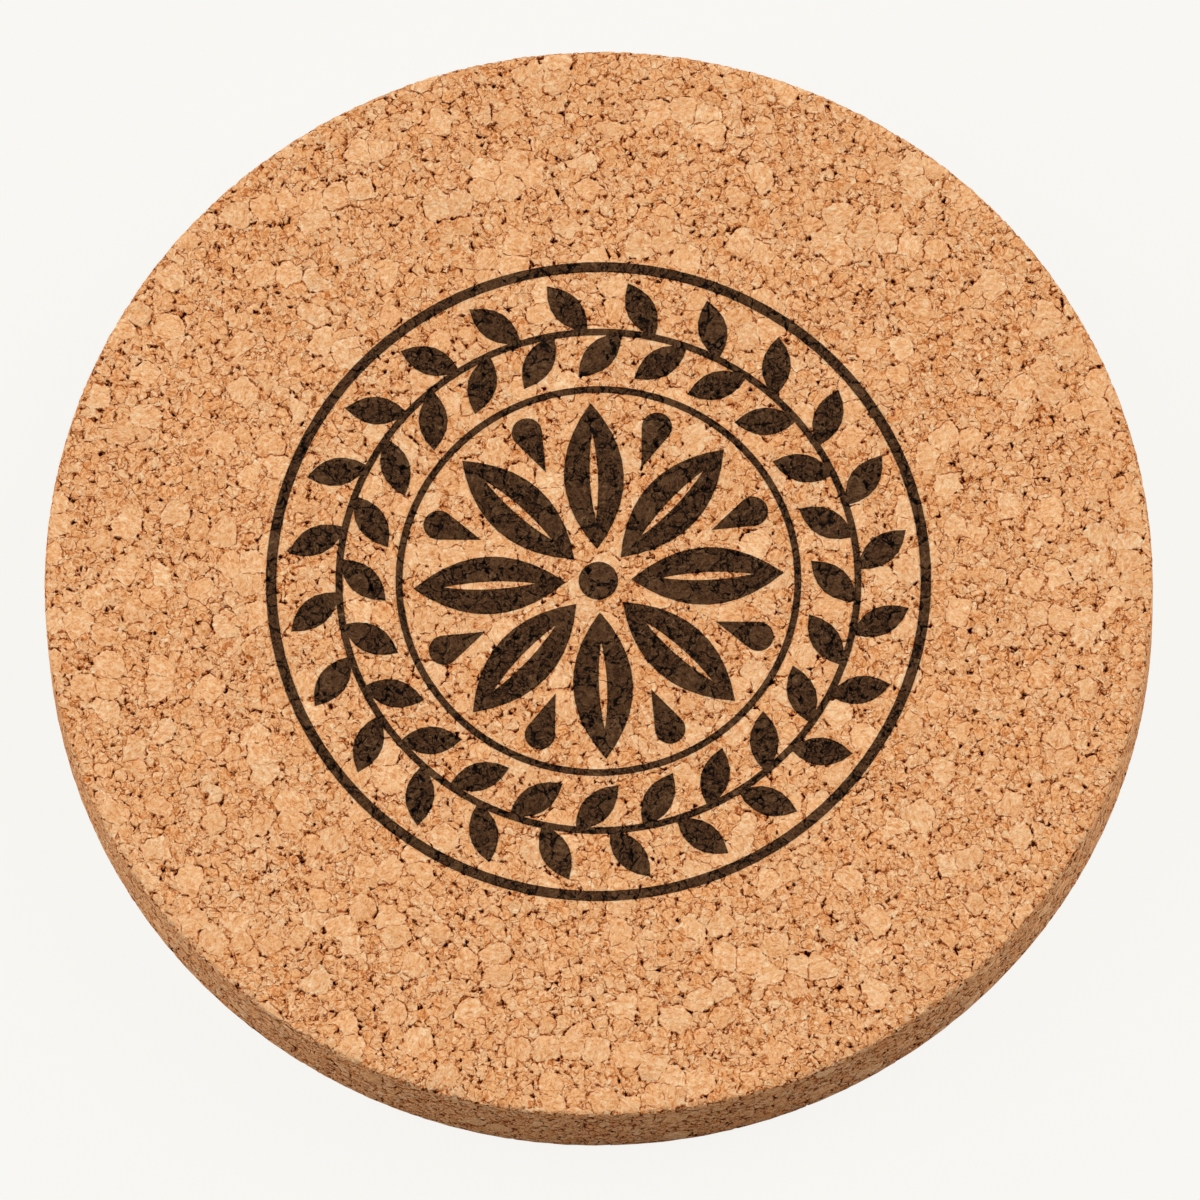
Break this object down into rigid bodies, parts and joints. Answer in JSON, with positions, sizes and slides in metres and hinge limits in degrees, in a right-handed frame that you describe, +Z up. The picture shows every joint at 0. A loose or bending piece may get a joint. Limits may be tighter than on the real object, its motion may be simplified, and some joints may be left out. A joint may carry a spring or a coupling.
{
  "type": "cork coaster",
  "caption": "Round coaster of pressed cork granules with a sanded edge and a leaf and petal ornament printed in dark ink on its top face, to stand a cup on.",
  "frame": {"origin": "centre of the coaster's underside, on the table", "axes": "+Z up through the coaster's thickness, along its axis; +X and +Y lie in the table's plane"},
  "size_m": [0.095, 0.095, 0.0101],
  "materials": {
    "cork": "matte",
    "ink": "matte"
  },
  "bodies": {
    "root": {"cork_disc": "cork", "print_border_ring": "ink", "print_leaf_wreath": "ink", "print_inner_ring": "ink", "print_petal_1": "ink", "print_petal_2": "ink", "print_petal_3": "ink", "print_petal_4": "ink", "print_petal_5": "ink", "print_petal_6": "ink", "print_petal_7": "ink", "print_petal_8": "ink", "print_drop_1": "ink", "print_drop_2": "ink", "print_drop_3": "ink", "print_drop_4": "ink", "print_drop_5": "ink", "print_drop_6": "ink", "print_drop_7": "ink", "print_drop_8": "ink", "print_centre_dot": "ink"}
  },
  "joints": []
}
